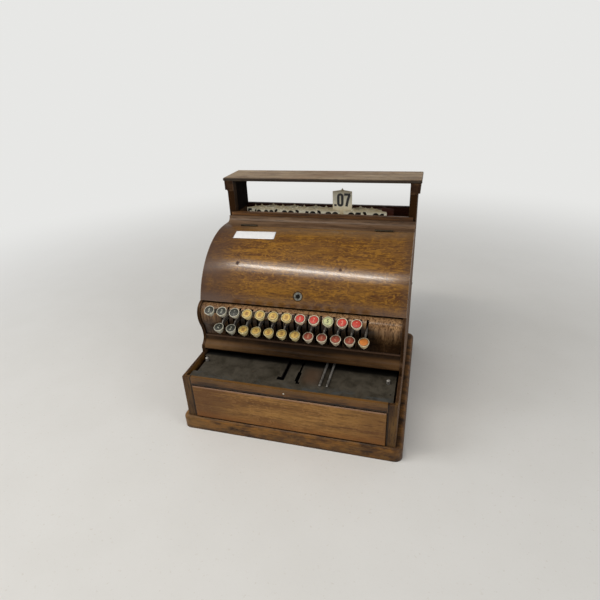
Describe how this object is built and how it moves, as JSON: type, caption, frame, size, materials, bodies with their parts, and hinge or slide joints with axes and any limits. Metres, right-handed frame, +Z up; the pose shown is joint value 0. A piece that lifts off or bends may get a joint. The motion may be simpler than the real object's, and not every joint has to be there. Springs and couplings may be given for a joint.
{
  "type": "keyed wooden cash register",
  "caption": "Antique wooden keyed cash register with a bent lid, slotted key front, cash drawer and pop-up tablet indicator window.",
  "frame": {"origin": "centre of the underside of the base, at the bottom centre of the bounding box", "axes": "+Z up, +X to the clerk's right, -Y towards the clerk"},
  "size_m": [0.441, 0.422, 0.443],
  "materials": {
    "base_oak": "worn varnish",
    "case_oak": "aged varnish",
    "lid_oak": "varnished quarter-sawn",
    "drawer_oak": "aged varnish",
    "dark_moulding": "dark varnish",
    "inner_wood": "bare",
    "deck_metal": "worn dark paint",
    "bright_steel": "worn",
    "steel": "oiled",
    "iron": "black",
    "hinge_brass": "dull",
    "lock_metal": "worn",
    "key_nickel": "nickel plated",
    "tablet_enamel": "aged cream enamel"
  },
  "bodies": {
    "case": {"back_panel": "case_oak", "base": "base_oak", "cove_moulding": "lid_oak", "deck_plate": "deck_metal", "deck_rods": "bright_steel", "deck_studs": "bright_steel", "drawer_rail": "case_oak", "drawer_runners": "inner_wood", "dust_board": "inner_wood", "front_stiles": "case_oak", "hinge_fixed_leaves": "hinge_brass", "indicator_sill": "dark_moulding", "key_fascia": "dark_moulding", "key_shaft": "steel", "lower_rail": "dark_moulding", "mechanism_brackets": "iron", "post_capitals": "dark_moulding", "rear_rail": "case_oak", "side_panel_left": "case_oak", "side_panel_right": "case_oak", "tablet_guides": "steel", "tablets_lowered": "tablet_enamel", "tail_rest_bar": "inner_wood", "top_board": "case_oak"},
    "lid": {"lid": "lid_oak", "hinge_lid_leaves": "hinge_brass", "lid_lock": "lock_metal"},
    "lock_plug": {"lock_plug": "lock_metal"},
    "drawer": {"drawer_front": "drawer_oak", "drawer_walls": "inner_wood", "drawer_bottom": "inner_wood", "till_dividers": "inner_wood"},
    "key_01": {"key_01": "key_nickel"},
    "key_02": {"key_02": "key_nickel"},
    "key_03": {"key_03": "key_nickel"},
    "key_04": {"key_04": "key_nickel"},
    "key_05": {"key_05": "key_nickel"},
    "key_06": {"key_06": "key_nickel"},
    "key_07": {"key_07": "key_nickel"},
    "key_08": {"key_08": "key_nickel"},
    "key_09": {"key_09": "key_nickel"},
    "key_10": {"key_10": "key_nickel"},
    "key_11": {"key_11": "key_nickel"},
    "key_12": {"key_12": "key_nickel"},
    "key_13": {"key_13": "key_nickel"},
    "key_14": {"key_14": "key_nickel"},
    "key_15": {"key_15": "key_nickel"},
    "key_16": {"key_16": "key_nickel"},
    "key_17": {"key_17": "key_nickel"},
    "key_18": {"key_18": "key_nickel"},
    "key_19": {"key_19": "key_nickel"},
    "key_20": {"key_20": "key_nickel"},
    "key_21": {"key_21": "key_nickel"},
    "key_22": {"key_22": "key_nickel"},
    "key_23": {"key_23": "key_nickel"},
    "key_24": {"key_24": "key_nickel"},
    "tablet_07": {"tablet_07": "tablet_enamel"},
    "tablet_13": {"tablet_13": "tablet_enamel"},
    "tablet_22": {"tablet_22": "tablet_enamel"},
    "tablet_raised": {"tablet_raised": "tablet_enamel"}
  },
  "joints": [
    {"name": "lid_hinge", "type": "hinge", "parent": "case", "child": "lid", "pos_m": [0, 0.061, 0.3484], "axis": [-1, 0, 0], "range_deg": [0, 110]},
    {"name": "drawer_slide", "type": "slide", "parent": "case", "child": "drawer", "axis": [0, -1, 0], "range_m": [0, 0.25]},
    {"name": "lock_turn", "type": "hinge", "parent": "lid", "child": "lock_plug", "pos_m": [0, -0.08251, 0.25645], "axis": [0, 0.9026, -0.4305], "range_deg": [0, 90]},
    {"name": "key_01_press", "type": "hinge", "parent": "case", "child": "key_01", "pos_m": [-0.1535, -0.05, 0.2], "axis": [1, 0, 0], "range_deg": [0, 13.5], "stiffness_Nm_per_rad": 0.12, "springref_deg": -14.32},
    {"name": "key_02_press", "type": "hinge", "parent": "case", "child": "key_02", "pos_m": [-0.1408, -0.05, 0.2], "axis": [1, 0, 0], "range_deg": [0, 13.5], "stiffness_Nm_per_rad": 0.12, "springref_deg": -14.32},
    {"name": "key_03_press", "type": "hinge", "parent": "case", "child": "key_03", "pos_m": [-0.1281, -0.05, 0.2], "axis": [1, 0, 0], "range_deg": [0, 13.5], "stiffness_Nm_per_rad": 0.12, "springref_deg": -14.32},
    {"name": "key_04_press", "type": "hinge", "parent": "case", "child": "key_04", "pos_m": [-0.1154, -0.05, 0.2], "axis": [1, 0, 0], "range_deg": [0, 13.5], "stiffness_Nm_per_rad": 0.12, "springref_deg": -14.32},
    {"name": "key_05_press", "type": "hinge", "parent": "case", "child": "key_05", "pos_m": [-0.1027, -0.05, 0.2], "axis": [1, 0, 0], "range_deg": [0, 13.5], "stiffness_Nm_per_rad": 0.12, "springref_deg": -14.32},
    {"name": "key_06_press", "type": "hinge", "parent": "case", "child": "key_06", "pos_m": [-0.09, -0.05, 0.2], "axis": [1, 0, 0], "range_deg": [0, 13.5], "stiffness_Nm_per_rad": 0.12, "springref_deg": -14.32},
    {"name": "key_07_press", "type": "hinge", "parent": "case", "child": "key_07", "pos_m": [-0.0773, -0.05, 0.2], "axis": [1, 0, 0], "range_deg": [0, 13.5], "stiffness_Nm_per_rad": 0.12, "springref_deg": -14.32},
    {"name": "key_08_press", "type": "hinge", "parent": "case", "child": "key_08", "pos_m": [-0.0646, -0.05, 0.2], "axis": [1, 0, 0], "range_deg": [0, 13.5], "stiffness_Nm_per_rad": 0.12, "springref_deg": -14.32},
    {"name": "key_09_press", "type": "hinge", "parent": "case", "child": "key_09", "pos_m": [-0.0519, -0.05, 0.2], "axis": [1, 0, 0], "range_deg": [0, 13.5], "stiffness_Nm_per_rad": 0.12, "springref_deg": -14.32},
    {"name": "key_10_press", "type": "hinge", "parent": "case", "child": "key_10", "pos_m": [-0.0392, -0.05, 0.2], "axis": [1, 0, 0], "range_deg": [0, 13.5], "stiffness_Nm_per_rad": 0.12, "springref_deg": -14.32},
    {"name": "key_11_press", "type": "hinge", "parent": "case", "child": "key_11", "pos_m": [-0.0265, -0.05, 0.2], "axis": [1, 0, 0], "range_deg": [0, 13.5], "stiffness_Nm_per_rad": 0.12, "springref_deg": -14.32},
    {"name": "key_12_press", "type": "hinge", "parent": "case", "child": "key_12", "pos_m": [-0.0138, -0.05, 0.2], "axis": [1, 0, 0], "range_deg": [0, 13.5], "stiffness_Nm_per_rad": 0.12, "springref_deg": -14.32},
    {"name": "key_13_press", "type": "hinge", "parent": "case", "child": "key_13", "pos_m": [-0.0011, -0.05, 0.2], "axis": [1, 0, 0], "range_deg": [0, 13.5], "stiffness_Nm_per_rad": 0.12, "springref_deg": -14.32},
    {"name": "key_14_press", "type": "hinge", "parent": "case", "child": "key_14", "pos_m": [0.0116, -0.05, 0.2], "axis": [1, 0, 0], "range_deg": [0, 13.5], "stiffness_Nm_per_rad": 0.12, "springref_deg": -14.32},
    {"name": "key_15_press", "type": "hinge", "parent": "case", "child": "key_15", "pos_m": [0.0243, -0.05, 0.2], "axis": [1, 0, 0], "range_deg": [0, 13.5], "stiffness_Nm_per_rad": 0.12, "springref_deg": -14.32},
    {"name": "key_16_press", "type": "hinge", "parent": "case", "child": "key_16", "pos_m": [0.037, -0.05, 0.2], "axis": [1, 0, 0], "range_deg": [0, 13.5], "stiffness_Nm_per_rad": 0.12, "springref_deg": -14.32},
    {"name": "key_17_press", "type": "hinge", "parent": "case", "child": "key_17", "pos_m": [0.0497, -0.05, 0.2], "axis": [1, 0, 0], "range_deg": [0, 13.5], "stiffness_Nm_per_rad": 0.12, "springref_deg": -14.32},
    {"name": "key_18_press", "type": "hinge", "parent": "case", "child": "key_18", "pos_m": [0.0624, -0.05, 0.2], "axis": [1, 0, 0], "range_deg": [0, 13.5], "stiffness_Nm_per_rad": 0.12, "springref_deg": -14.32},
    {"name": "key_19_press", "type": "hinge", "parent": "case", "child": "key_19", "pos_m": [0.0751, -0.05, 0.2], "axis": [1, 0, 0], "range_deg": [0, 13.5], "stiffness_Nm_per_rad": 0.12, "springref_deg": -14.32},
    {"name": "key_20_press", "type": "hinge", "parent": "case", "child": "key_20", "pos_m": [0.0878, -0.05, 0.2], "axis": [1, 0, 0], "range_deg": [0, 13.5], "stiffness_Nm_per_rad": 0.12, "springref_deg": -14.32},
    {"name": "key_21_press", "type": "hinge", "parent": "case", "child": "key_21", "pos_m": [0.1005, -0.05, 0.2], "axis": [1, 0, 0], "range_deg": [0, 13.5], "stiffness_Nm_per_rad": 0.12, "springref_deg": -14.32},
    {"name": "key_22_press", "type": "hinge", "parent": "case", "child": "key_22", "pos_m": [0.1132, -0.05, 0.2], "axis": [1, 0, 0], "range_deg": [0, 13.5], "stiffness_Nm_per_rad": 0.12, "springref_deg": -14.32},
    {"name": "key_23_press", "type": "hinge", "parent": "case", "child": "key_23", "pos_m": [0.1259, -0.05, 0.2], "axis": [1, 0, 0], "range_deg": [0, 13.5], "stiffness_Nm_per_rad": 0.12, "springref_deg": -14.32},
    {"name": "key_24_press", "type": "hinge", "parent": "case", "child": "key_24", "pos_m": [0.1386, -0.05, 0.2], "axis": [1, 0, 0], "range_deg": [0, 13.5], "stiffness_Nm_per_rad": 0.12, "springref_deg": -14.32},
    {"name": "tablet_07_rise", "type": "slide", "parent": "case", "child": "tablet_07", "axis": [0, 0, 1], "range_m": [0, 0.04101]},
    {"name": "tablet_13_rise", "type": "slide", "parent": "case", "child": "tablet_13", "axis": [0, 0, 1], "range_m": [0, 0.0429]},
    {"name": "tablet_22_rise", "type": "slide", "parent": "case", "child": "tablet_22", "axis": [0, 0, 1], "range_m": [0, 0.04478]},
    {"name": "tablet_raised_drop", "type": "slide", "parent": "case", "child": "tablet_raised", "axis": [0, 0, 1], "range_m": [-0.04088, 0]}
  ],
  "couplings": [
    {"joint": "tablet_07_rise", "follows": "key_07_press", "m_per_rad": 0.174},
    {"joint": "tablet_13_rise", "follows": "key_13_press", "m_per_rad": 0.182},
    {"joint": "tablet_22_rise", "follows": "key_22_press", "m_per_rad": 0.19}
  ]
}
